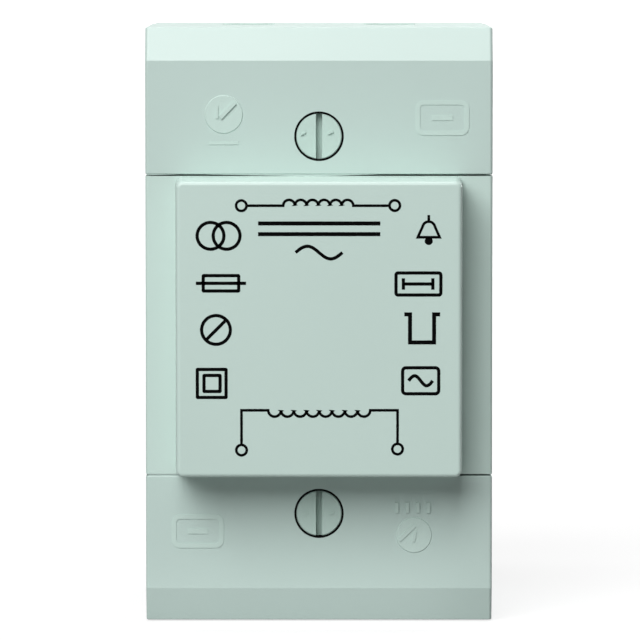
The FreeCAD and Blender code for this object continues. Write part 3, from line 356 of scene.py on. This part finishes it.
# Print on the nose: wiring symbols in black, put on with a soft pad.
# The ink is a thin even film with clean edges, far more matt than the plastic.
# Its lines come in three widths, and its back lies just inside the nose.

FRONT = 60.0
INK_LEVELS = (FRONT - 0.05, FRONT + 0.025)
THIN = 0.40
MEDIUM = 0.49
BOLD = 0.6
OPEN, CLOSED = False, True
INK_SPECKS = 0.2 * MM
FAINT_MIRROR = 0.02
SHARPEST_MITRE = 0.4
CIRCLE_POINTS = 48
CORNER_POINTS = 6
HUMP_POINTS = 15
WAVE_POINTS = 25
DISC_RIM = 0.15
TERMINAL_DOT = 0.78


def pad_ink(name):
    """Printed ink: black and matt, its uneven thickness as small specks of a lighter grey."""
    material, tree, shader, place = new_material(name)
    specks = add_node(tree, "ShaderNodeTexNoise", {"Scale": 1 / INK_SPECKS, "Detail": 2.0},
                      {"Vector": place})
    tone = add_node(tree, "ShaderNodeMix",
                    {"data_type": "RGBA", TONE_A: linear("#030303"), TONE_B: linear("#0A0B0B")},
                    {0: specks.outputs[0]})
    tree.links.new(tone.outputs[TONE_OUT], shader.inputs["Base Color"])
    shader.inputs["Roughness"].default_value = 0.8
    shader.inputs["Specular IOR Level"].default_value = FAINT_MIRROR
    return material


def ribbon(points, width, levels, closed=OPEN):
    """A flat band along a line in X and Z, in mm, between two levels in front of the wall. Each
    point is moved to both sides by half the width along the mitre, which is the mean of the two
    runs' normals divided by the cosine of half the turn between them."""
    points = np.asarray(points, float)
    runs = np.roll(points, -1, axis=0) - points
    runs /= np.maximum(np.linalg.norm(runs, axis=1, keepdims=True), 1e-9)
    normals = np.column_stack([-runs[:, 1], runs[:, 0]])
    before = np.roll(normals, 1, axis=0)
    if not closed:
        normals[-1] = normals[-2]
        before[0] = normals[0]
    mitre = normals + before
    mitre /= np.linalg.norm(mitre, axis=1, keepdims=True)
    mitre /= np.maximum((mitre * normals).sum(axis=1, keepdims=True), SHARPEST_MITRE)
    left = points + mitre * width / 2
    right = points - mitre * width / 2
    back, front = levels
    corners = [(left, front), (right, front), (right, back), (left, back)]
    sections = np.stack([np.column_stack([edge[:, 0], np.full(len(edge), -level), edge[:, 1]])
                         for edge, level in corners], axis=1)
    count = len(points)
    start = np.arange(count if closed else count - 1)[:, None] * 4
    following = (start + 4) % (4 * count)
    corner = np.arange(4)
    beside = (corner + 1) % 4
    faces = np.stack([start + corner, start + beside, following + beside, following + corner],
                     axis=2).reshape(-1, 4)
    if not closed:
        last = 4 * count - 4
        faces = np.vstack([faces, [(0, 3, 2, 1), (last, last + 1, last + 2, last + 3)]])
    return sections.reshape(-1, 3), faces


def arc(x, z, radius, start, end, count):
    """Points on a circle from one angle to another, in degrees from the right towards the top."""
    angles = np.radians(np.linspace(start, end, count))
    return np.column_stack([x + radius * np.cos(angles), z + radius * np.sin(angles)])


def circle(x, z, radius):
    """Points all the way round a circle, without its first point again at the end."""
    return arc(x, z, radius, 0, 360 - 360 / CIRCLE_POINTS, CIRCLE_POINTS)


def frame_line(x_low, x_high, z_low, z_high, radius):
    """A rounded rectangle: four quarter circles, joined by straight runs."""
    return np.vstack([
        arc(x_high - radius, z_high - radius, radius, 0, 90, CORNER_POINTS),
        arc(x_low + radius, z_high - radius, radius, 90, 180, CORNER_POINTS),
        arc(x_low + radius, z_low + radius, radius, 180, 270, CORNER_POINTS),
        arc(x_high - radius, z_low + radius, radius, 270, 360, CORNER_POINTS),
    ])


def raised_disc(x, z, radius, levels):
    """A round pad with a sloped rim: a ring at the full radius, a smaller one in front, and strips
    across the front."""
    back, front = levels
    rings = [np.insert(circle(x, z, radius - step), 1, -level, axis=1)
             for step, level in ((0, back), (DISC_RIM, front))]
    start = np.arange(CIRCLE_POINTS)
    following = (start + 1) % CIRCLE_POINTS
    rim = np.stack([start, following, following + CIRCLE_POINTS, start + CIRCLE_POINTS], axis=1)
    return np.vstack(rings), np.vstack([rim, close_ring(CIRCLE_POINTS, CIRCLE_POINTS)])


def winding_line(x_low, x_high, z, turns, side, leads):
    """A coil's symbol: half circles above (1) or below (-1) a line, side by side, with a straight
    lead to each end."""
    radius = (x_high - x_low) / turns / 2
    humps = [arc(x_low + radius * (2 * turn + 1), z, radius, 180, 180 - side * 180, HUMP_POINTS)
             for turn in range(turns)]
    return np.vstack([[(leads[0], z)], *humps, [(leads[1], z)]])


def wave_line(x_low, x_high, z, height):
    """One period of a sine: half the height times the sine of a full turn's share of the way."""
    across = np.linspace(x_low, x_high, WAVE_POINTS)
    turn = 2 * np.pi * (across - x_low) / (x_high - x_low)
    return np.column_stack([across, z + height / 2 * np.sin(turn)])


ink = pad_ink("pad_printed_ink")


def print_lines(name, *lines, filled=()):
    """Prints lines, each given as points, width and whether it closes, and other shapes as they
    are."""
    shapes = [ribbon(points, width, INK_LEVELS, closed) for points, width, closed in lines]
    return new_piece(name, [*shapes, *filled], ink)


print_lines(
    "print_bell_side",
    (circle(-11.6, 18.55, TERMINAL_DOT), THIN, CLOSED),
    (circle(11.3, 18.58, TERMINAL_DOT), THIN, CLOSED),
    (winding_line(-5.35, 5.12, 18.55, turns=6, side=1, leads=(-10.7, 10.4)), THIN, OPEN),
)
print_lines(
    "print_core_lines",
    ([(-9.1, 15.9), (9.15, 15.9)], BOLD, OPEN),
    ([(-9.1, 14.3), (9.15, 14.3)], BOLD, OPEN),
    (wave_line(-3.5, 3.5, 11.55, 1.9), MEDIUM, OPEN),
)
print_lines(
    "print_mains_side",
    (circle(-11.6, -18.06, TERMINAL_DOT), THIN, CLOSED),
    (circle(11.75, -17.9, TERMINAL_DOT), THIN, CLOSED),
    (np.vstack([
        [(-11.6, -17.15), (-11.6, -12.08)],
        winding_line(-7.6, 7.66, -12.08, turns=8, side=-1, leads=(-8.94, 9.0)),
        [(11.75, -12.08), (11.75, -17.0)],
    ]), THIN, OPEN),
)
print_lines(
    "print_transformer_mark",
    (circle(-16.2, 14.05, 2.0), MEDIUM, CLOSED),
    (circle(-13.8, 14.05, 2.0), MEDIUM, CLOSED),
)
print_lines(
    "print_fuse_mark",
    (frame_line(-17.3, -12.0, 5.8, 8.1, 0.1), MEDIUM, CLOSED),
    ([(-18.4, 6.95), (-10.9, 6.95)], MEDIUM, OPEN),
)
print_lines(
    "print_screw_mark",
    (circle(-15.4, -0.03, 2.15), MEDIUM, CLOSED),
    ([(-16.75, -1.4), (-14.05, 1.3)], MEDIUM, OPEN),
)
print_lines(
    "print_insulation_mark",
    (frame_line(-18.2, -13.9, -10.15, -5.95, 0.05), MEDIUM, CLOSED),
    (frame_line(-17.2, -14.8, -9.25, -6.85, 0.05), MEDIUM, CLOSED),
)
print_lines(
    "print_bell_mark",
    (np.vstack([[(14.75, 13.84)], arc(16.38, 15.25, 0.93, 165, 15, 21), [(18.01, 13.84)]]),
     THIN, CLOSED),
    ([(16.38, 16.2), (16.38, 17.15)], THIN, OPEN),
    filled=[raised_disc(16.38, 13.27, 0.71, INK_LEVELS)],
)
print_lines(
    "print_strip_length_mark",
    (frame_line(11.5, 18.2, 5.2, 8.5, 0.3), MEDIUM, CLOSED),
    ([(12.6, 6.0), (12.6, 7.7)], MEDIUM, OPEN),
    ([(17.0, 6.0), (17.0, 7.7)], MEDIUM, OPEN),
    ([(12.6, 6.85), (17.0, 6.85)], MEDIUM, OPEN),
)
print_lines(
    "print_rail_mark",
    ([(12.75, 2.3), (13.6, 2.3), (13.6, -1.9), (17.2, -1.9), (17.2, 2.3), (18.1, 2.3)],
     BOLD, OPEN),
)
print_lines(
    "print_alternating_mark",
    (frame_line(12.5, 17.9, -9.6, -5.7, 0.5), MEDIUM, CLOSED),
    (wave_line(13.4, 17.0, -7.65, 1.5), MEDIUM, OPEN),
)


# Terminal covers: one moulding used twice, over the bell terminals above and the mains terminals
# below. Polished inserts in the mould leave raised marks, a little glossier than the cover: discs
# with strokes, frames with a bar, an underline and a row of short bars. The marks' tone is a
# little lighter than the cover's, as painted sheen.

cover_plastic = moulded_plastic("moulded_ppe_cover", "#B9CCC6", "#B5C8C2", roughness=0.35)
finish(cover_plastic, "upper_terminal_cover", "lower_terminal_cover")

# Painted sheen: the marks' tones are a little lighter than the cover's, besides their lower
# roughness.
mark_plastic_painted_sheen = moulded_plastic("moulded_ppe_mark_painted_sheen", "#BED2CB", "#BACEC7",
                                   roughness=0.32)

# The back and the front of each kind of mark. Strokes stand on a disc, the others on the face.
FACE = 50.0
FLAT_MARK = (FACE - 0.05, FACE + 0.11)
DISC = (FACE - 0.05, FACE + 0.15)
LOW_STROKE = (FACE + 0.05, FACE + 0.32)
HIGH_STROKE = (FACE + 0.05, FACE + 0.45)
SHORT_BAR = (FACE - 0.05, FACE + 0.32)


def bar(x_low, z_low, x_high, z_high, width, levels):
    """A straight raised bar between two points."""
    return ribbon([(x_low, z_low), (x_high, z_high)], width, levels)


new_piece("upper_cover_mould_marks", [
    raised_disc(-14.4, 31.9, 2.95, DISC),
    bar(-14.9, 31.4, -12.7, 33.7, 0.6, HIGH_STROKE),
    bar(-15.4, 31.3, -15.4, 33.2, 0.4, LOW_STROKE),
    bar(-16.6, 27.6, -12.2, 27.6, 0.5, FLAT_MARK),
    ribbon(frame_line(14.9, 22.3, 29.1, 33.7, 0.9), 0.7, FLAT_MARK, CLOSED),
    bar(17.0, 31.4, 20.2, 31.4, 0.8, FLAT_MARK),
], mark_plastic_painted_sheen)
new_piece("lower_cover_mould_marks", [
    ribbon(frame_line(-22.0, -14.8, -33.5, -29.1, 0.9), 0.7, FLAT_MARK, CLOSED),
    bar(-19.9, -31.3, -16.9, -31.3, 0.8, FLAT_MARK),
    raised_disc(14.4, -31.9, 2.75, DISC),
    bar(12.1, -32.7, 14.5, -30.4, 0.6, LOW_STROKE),
    bar(14.3, -32.9, 14.6, -31.4, 0.4, LOW_STROKE),
    *(bar(x, -28.5, x, -26.9, 0.5, SHORT_BAR) for x in (11.8, 13.4, 15.0, 16.6)),
], mark_plastic_painted_sheen)

# Both covers bow a little, so that part of their inner edge closes the joint with the housing: the
# upper one over the middle of the nose and a little at its left end, the lower one at the left
# shoulder. Each pair is a place along X and the share of the joint that is closed there.
JOINT_LOW, JOINT_HIGH = 22.6, 22.85
EDGE_LEVELS = (FACE - 1.0, FACE - 0.08)
EDGE_POINTS = 31
SIDES = {"upper": 1, "lower": -1}
BOWS = {
    "upper": [(-25.9, 0.45), (-23.5, 0.3), (-21.5, 0.02), (-18, 0.02), (-12, 0.4), (-3, 1.0),
              (0, 1.0), (3, 0.77), (9, 0.02)],
    "lower": [(-25.9, 0.6), (-25.5, 0.72), (-21, 0.72), (-15, 0.02)],
}
for cover, side in SIDES.items():
    stations, shares = zip(*BOWS[cover])
    edge_x = np.linspace(stations[0], stations[-1], EDGE_POINTS)
    bow = (JOINT_HIGH - JOINT_LOW) * np.interp(edge_x, stations, shares)
    middle = np.column_stack([edge_x, side * (JOINT_HIGH - bow / 2)])
    new_piece(f"{cover}_cover_bowed_edge", [ribbon(middle, bow[:, None], EDGE_LEVELS)],
              cover_plastic)


# Cover screws: captive moulded screws with a tall slotted head, one through each cover into its
# pillar. They come from the same plastic, with a tiny raised pointer on each side of the slot.
# A black ring round the head is painted shade: it stands in for the shade in the narrow gap round
# the head and shows as a thin dark line.

screw_plastic = moulded_plastic("moulded_ppe_screw", "#B7CDC5", "#B3C9C1", roughness=0.42)
finish(screw_plastic, "upper_cover_screw", "lower_cover_screw")

# Painted shade: a near-black, nearly mirrorless ring set into the gap round each screw head.
shade_ring_black = moulded_plastic("black_ring_painted_shade", "#0B0B0B", "#080808", roughness=0.7,
                         grain_height=0.004 * MM)
shade_ring_black.node_tree.nodes["Principled BSDF"].inputs["Specular IOR Level"].default_value = FAINT_MIRROR

SCREW_HEIGHT = 28.6
HEAD = FACE - 0.15
RING_INNER, RING_OUTER = 3.44, 3.76
RING_LEVELS = (FACE - 1.2, FACE - 0.2)
POINTER_WIDTH = 0.35
POINTER_LEVELS = {"upper": (HEAD - 0.05, HEAD + 0.28), "lower": (HEAD - 0.05, HEAD + 0.15)}
POINTERS = {
    "upper": (((-2.8, 28.85), (-2.05, 29.3)), ((1.3, 29.0), (2.1, 29.35))),
    "lower": (((-2.3, -28.75), (-1.6, -28.4)), ((1.6, -28.75), (2.3, -28.4))),
}
for cover, side in SIDES.items():
    new_piece(f"{cover}_screw_pointers",
              [ribbon(points, POINTER_WIDTH, POINTER_LEVELS[cover]) for points in POINTERS[cover]],
              screw_plastic)
    # Each screw's painted shade ring, in the gap round its head.
    ring_line = circle(0, side * SCREW_HEIGHT, (RING_INNER + RING_OUTER) / 2)
    new_piece(f"{cover}_screw_painted_shade_ring",
              [ribbon(ring_line, RING_OUTER - RING_INNER, RING_LEVELS, CLOSED)], shade_ring_black)


# Studio: a pale sweep of paper that is floor and backdrop in one, and soft lamps. All its lengths
# are in metres. The floor stays white to the camera and keeps the shadow that the part casts.

FLOOR = cad_box[0][2]
BEND_POINTS = 24
SWEEP_COLUMNS = 3
PAPER_FIBRES = 0.4 * MM
NEAR_GLOW, FAR_GLOW, GLOW_REACH = 0.785, 0.98, 0.6
REFLECTED_SHARE = 0.7
AIR_LIGHT, AIR_SEEN = 0.01, 0.97


def sweep(name, width, near_edge, far_edge, radius, height):
    """A floor that turns up into a wall: a straight run, a quarter circle and a straight run,
    carried along X."""
    angles = np.linspace(0, np.pi / 2, BEND_POINTS)
    bend = np.column_stack([far_edge + radius * np.sin(angles), radius * (1 - np.cos(angles))])
    profile = np.vstack([[(near_edge, 0)], bend, [(far_edge + radius, height)]])
    count = len(profile)
    across = np.linspace(-width / 2, width / 2, SWEEP_COLUMNS)
    grid = np.stack([np.broadcast_to(across[:, None], (SWEEP_COLUMNS, count)),
                     np.broadcast_to(profile[:, 0], (SWEEP_COLUMNS, count)),
                     np.broadcast_to(profile[:, 1] + FLOOR, (SWEEP_COLUMNS, count))], axis=2)
    column = np.arange(SWEEP_COLUMNS - 1)[:, None] * count + np.arange(count - 1)
    faces = np.stack([column, column + count, column + count + 1, column + 1], axis=2)
    mesh = bpy.data.meshes.new(name)
    mesh.from_pydata(grid.reshape(-1, 3).tolist(), [], faces.reshape(-1, 4).tolist())
    mesh.shade_smooth()
    backdrop = bpy.data.objects.new(name, mesh)
    bpy.context.scene.collection.objects.link(backdrop)
    return backdrop


def seen_directly(tree):
    """1 for rays from the camera or a clear piece, less for a reflection, and 0 for the rays that
    carry light."""
    rays = add_node(tree, "ShaderNodeLightPath")
    mirrored = add_node(tree, "ShaderNodeMath", {"operation": "MULTIPLY_ADD", 1: REFLECTED_SHARE},
                        {0: rays.outputs["Is Glossy Ray"], 2: rays.outputs["Is Camera Ray"]})
    either = add_node(tree, "ShaderNodeMath", {"operation": "MAXIMUM"},
                      {0: mirrored.outputs[0], 1: rays.outputs["Is Transmission Ray"]})
    return either.outputs[0]


def paper():
    """Matt white paper. What the camera or a reflection sees is lifted by a glow, a little less of
    it near the part, so that the part's shadow still shows."""
    material, tree, _, place = new_material("matt_background_paper")
    fibres = add_node(tree, "ShaderNodeTexNoise", {"Scale": 1 / PAPER_FIBRES, "Detail": 2.0},
                      {"Vector": place})
    tone = add_node(tree, "ShaderNodeMix",
                    {"data_type": "RGBA", TONE_A: linear("#8E8E8E"), TONE_B: linear("#8B8B8B")},
                    {0: fibres.outputs[0]})
    matt = add_node(tree, "ShaderNodeBsdfDiffuse", None, {"Color": tone.outputs[TONE_OUT]})
    axes = add_node(tree, "ShaderNodeSeparateXYZ", None, {0: place})
    strength = add_node(tree, "ShaderNodeMapRange",
                        {"From Min": 0.0, "From Max": GLOW_REACH,
                         "To Min": NEAR_GLOW, "To Max": FAR_GLOW},
                        {"Value": axes.outputs["Y"]})
    glow = add_node(tree, "ShaderNodeEmission", {"Color": (1, 1, 1, 1)},
                    {"Strength": strength.outputs[0]})
    lifted = add_node(tree, "ShaderNodeAddShader", None, {0: matt.outputs[0], 1: glow.outputs[0]})
    choice = add_node(tree, "ShaderNodeMixShader", None,
                      {0: seen_directly(tree), 1: matt.outputs[0], 2: lifted.outputs[0]})
    tree.links.new(choice.outputs[0], tree.nodes["Material Output"].inputs["Surface"])
    return material


backdrop = sweep("paper_sweep", width=6.0, near_edge=-3.0, far_edge=0.9, radius=0.6, height=2.5)
backdrop.data.materials.append(paper())


def turned_to(place, target):
    """The rotation that turns a lamp or a camera at one place to another."""
    return (Vector(target) - Vector(place)).to_track_quat("-Z", "Y").to_euler()


def softbox(name, place, target, width, height, power):
    """A rectangular area lamp that faces a point."""
    lamp = bpy.data.lights.new(name, "AREA")
    lamp.shape = "RECTANGLE"
    lamp.size = width
    lamp.size_y = height
    lamp.energy = power
    holder = bpy.data.objects.new(name, lamp)
    holder.location = place
    holder.rotation_euler = turned_to(place, target)
    bpy.context.scene.collection.objects.link(holder)


# The key lamp stands at the upper left and the back lamp behind the part, to the right. A strip
# above lights the upper slope, and a weak one on the floor lifts the lower slope.
softbox("key_softbox", (-0.36, -0.98, 0.71), (0, -0.03, 0), width=0.9, height=0.9, power=18.3)
softbox("back_softbox", (0.60, 1.05, 0.48), (0, 0, 0), width=0.9, height=0.9, power=11.0)
softbox("top_strip", (0, -0.045, 0.20), (0, -0.0451, 0), width=0.12, height=0.03, power=0.16)
softbox("foot_strip", (-0.006, -0.058, FLOOR + 0.0008), (-0.006, -0.049, FLOOR + 0.0022),
        width=0.052, height=0.002, power=0.0005)

# The air past the paper's edges is white to the eye too, but gives hardly any light.
world = bpy.data.worlds.new("studio_air")
world.use_nodes = True
brightness = add_node(world.node_tree, "ShaderNodeMapRange",
                      {"To Min": AIR_LIGHT, "To Max": AIR_SEEN},
                      {"Value": seen_directly(world.node_tree)})
background = world.node_tree.nodes["Background"]
background.inputs["Color"].default_value = (1.0, 1.0, 1.0, 1.0)
world.node_tree.links.new(brightness.outputs[0], background.inputs["Strength"])
bpy.context.scene.world = world

# The photograph's view: a long lens 0.85 m from the wall, a little above the middle of the part.
CAMERA_PLACE = (0.0, -0.850, 0.0532)
CAMERA_TARGET = (0.00015, -0.05, 0.0008)
camera_data = bpy.data.cameras.new("camera")
camera_data.lens = 298.0
camera_data.sensor_width = 36.0
camera_data.clip_end = 50.0
camera = bpy.data.objects.new("camera", camera_data)
camera.location = CAMERA_PLACE
camera.rotation_euler = turned_to(CAMERA_PLACE, CAMERA_TARGET)
bpy.context.scene.collection.objects.link(camera)
bpy.context.scene.camera = camera
bpy.context.scene.view_settings.view_transform = "Standard"
